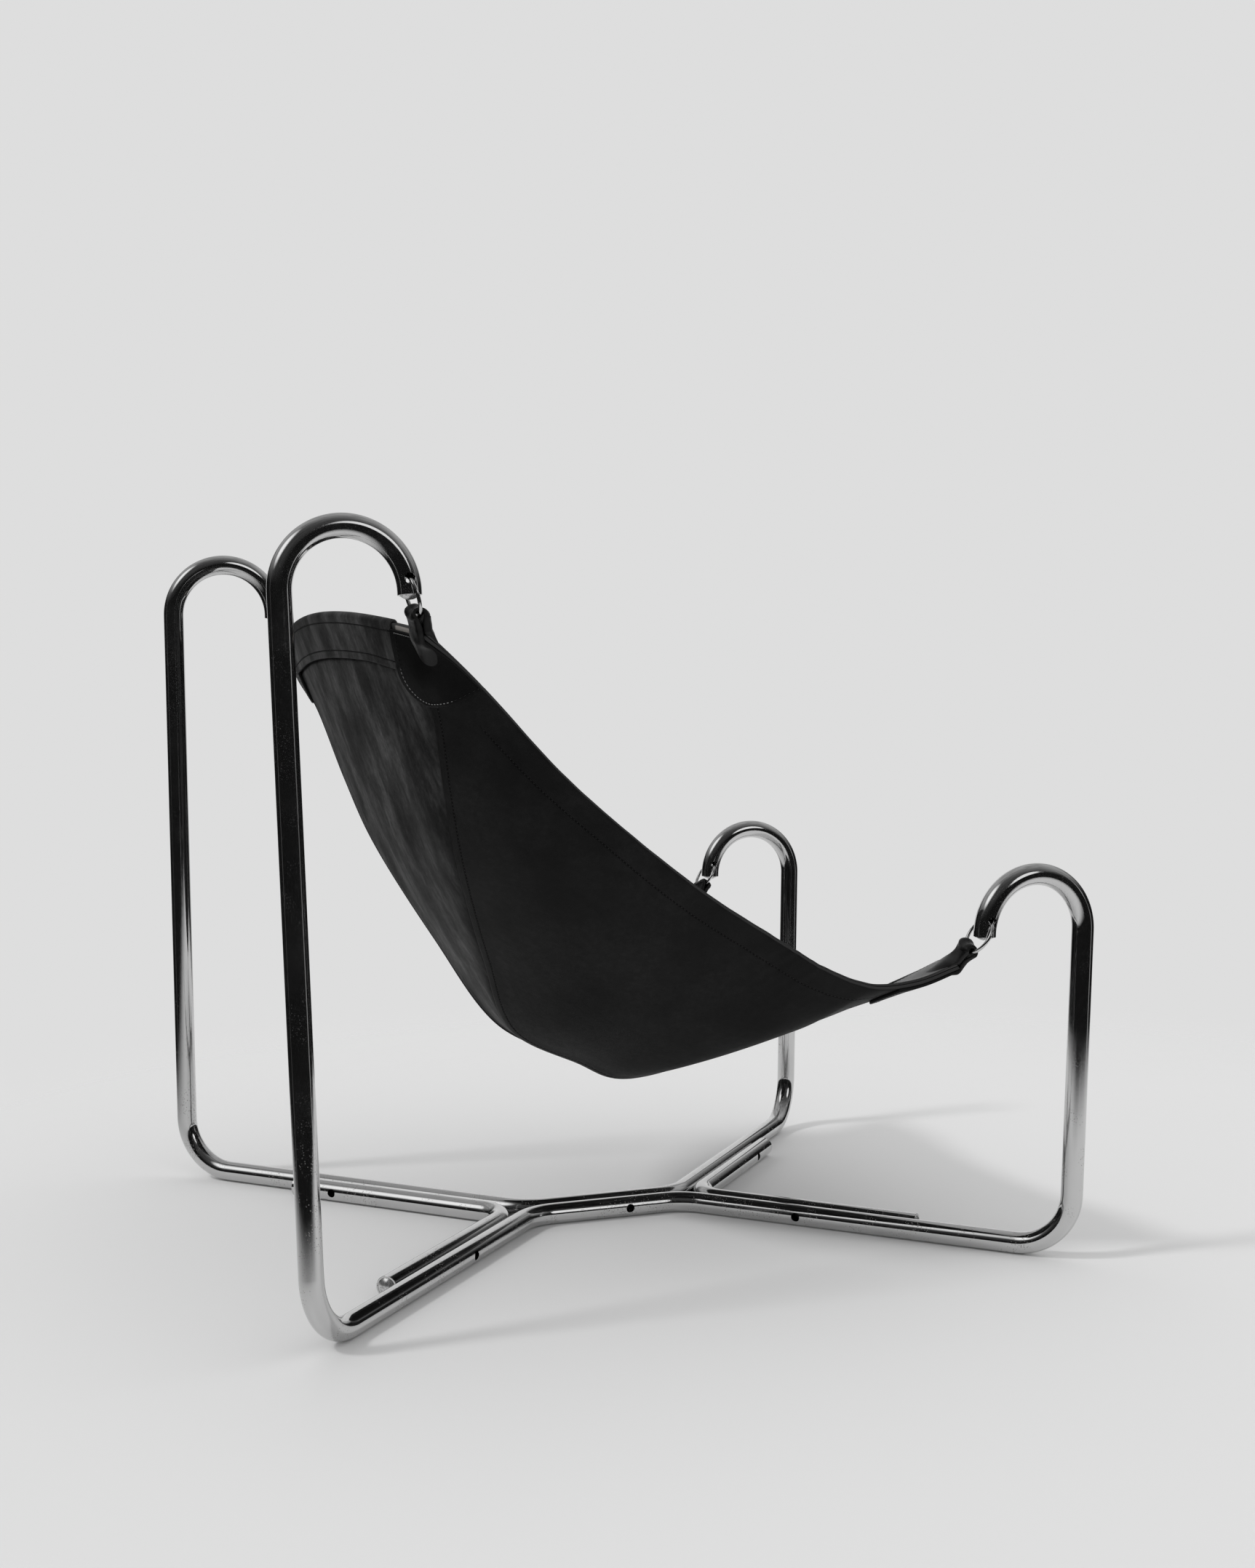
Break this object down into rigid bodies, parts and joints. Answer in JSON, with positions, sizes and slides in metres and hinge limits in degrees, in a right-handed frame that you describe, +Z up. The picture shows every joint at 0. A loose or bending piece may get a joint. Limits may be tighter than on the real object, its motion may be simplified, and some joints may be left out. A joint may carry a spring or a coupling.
{
  "type": "sling lounge chair",
  "caption": "Low lounge chair: a frame of bent chromed tube with hooked uprights carries a black leather sling seat on steel rings.",
  "frame": {"origin": "on the floor, under the middle of the chair's outline", "axes": "+X towards the chair's front, +Y to its left, +Z up"},
  "size_m": [0.9344, 0.781, 0.821],
  "materials": {
    "chrome_tube": "polished chrome, lightly scratched and pitted",
    "chrome_plug": "duller chrome",
    "chrome_ring": "polished chrome wire",
    "screw_steel": "dark oxide steel",
    "insert_steel": "zinc-plated steel",
    "panel_leather": "black saddle leather with worn, paler streaks",
    "trim_leather": "smoother black leather with cut edges"
  },
  "bodies": {
    "frame": {"side_frame_right": "chrome_tube", "side_frame_left": "chrome_tube", "rear_brace": "chrome_tube", "front_brace": "chrome_tube", "centre_run_screw": "screw_steel", "rear_right_outer_screw": "screw_steel", "rear_right_inner_screw": "screw_steel", "rear_left_outer_screw": "screw_steel", "rear_left_inner_screw": "screw_steel", "front_right_outer_screw": "screw_steel", "front_right_inner_screw": "screw_steel", "front_left_outer_screw": "screw_steel", "front_left_inner_screw": "screw_steel", "centre_run_insert": "insert_steel", "rear_right_outer_insert": "insert_steel", "rear_right_inner_insert": "insert_steel", "rear_left_outer_insert": "insert_steel", "rear_left_inner_insert": "insert_steel", "front_right_outer_insert": "insert_steel", "front_right_inner_insert": "insert_steel", "front_left_outer_insert": "insert_steel", "front_left_inner_insert": "insert_steel", "rear_right_hook_plug": "chrome_plug", "rear_left_hook_plug": "chrome_plug", "front_right_hook_plug": "chrome_plug", "front_left_hook_plug": "chrome_plug", "rear_right_brace_plug": "chrome_plug", "rear_left_brace_plug": "chrome_plug", "front_right_brace_plug": "chrome_plug", "front_left_brace_plug": "chrome_plug"},
    "sling": {"main_panel": "panel_leather", "right_side_panel": "panel_leather", "left_side_panel": "panel_leather", "rear_hem_band": "panel_leather", "front_hem": "panel_leather", "right_arm_hem": "panel_leather", "left_arm_hem": "panel_leather", "rear_right_patch": "trim_leather", "rear_left_patch": "trim_leather", "front_right_patch": "trim_leather", "front_left_patch": "trim_leather", "rear_right_lining": "trim_leather", "rear_left_lining": "trim_leather", "front_right_lining": "trim_leather", "front_left_lining": "trim_leather", "rear_right_loop": "trim_leather", "rear_left_loop": "trim_leather", "front_right_loop": "trim_leather", "front_left_loop": "trim_leather"},
    "ring_rear_right": {"rear_right_ring": "chrome_ring"},
    "ring_rear_left": {"rear_left_ring": "chrome_ring"},
    "ring_front_right": {"front_right_ring": "chrome_ring"},
    "ring_front_left": {"front_left_ring": "chrome_ring"}
  },
  "joints": [
    {"name": "sling_swing", "type": "hinge", "parent": "frame", "child": "sling", "pos_m": [-0.068, 0, -0.188], "axis": [0, 1, 0], "range_deg": [-0.36, 0.36], "stiffness_Nm_per_rad": 640},
    {"name": "rear_right_ring_swing", "type": "hinge", "parent": "frame", "child": "ring_rear_right", "pos_m": [-0.32719, -0.32974, 0.75842], "axis": [0, 1, 0], "range_deg": [-9, 9]},
    {"name": "rear_left_ring_swing", "type": "hinge", "parent": "frame", "child": "ring_rear_left", "pos_m": [-0.32719, 0.32974, 0.75842], "axis": [0, 1, 0], "range_deg": [-9, 9]},
    {"name": "front_right_ring_swing", "type": "hinge", "parent": "frame", "child": "ring_front_right", "pos_m": [0.32689, -0.36803, 0.39612], "axis": [0, 1, 0], "range_deg": [-7, 7]},
    {"name": "front_left_ring_swing", "type": "hinge", "parent": "frame", "child": "ring_front_left", "pos_m": [0.32689, 0.36803, 0.39612], "axis": [0, 1, 0], "range_deg": [-7, 7]}
  ],
  "couplings": [
    {"joint": "rear_right_ring_swing", "follows": "sling_swing", "ratio": -24.68},
    {"joint": "rear_left_ring_swing", "follows": "sling_swing", "ratio": -24.68},
    {"joint": "front_right_ring_swing", "follows": "sling_swing", "ratio": -18.07},
    {"joint": "front_left_ring_swing", "follows": "sling_swing", "ratio": -18.07}
  ]
}
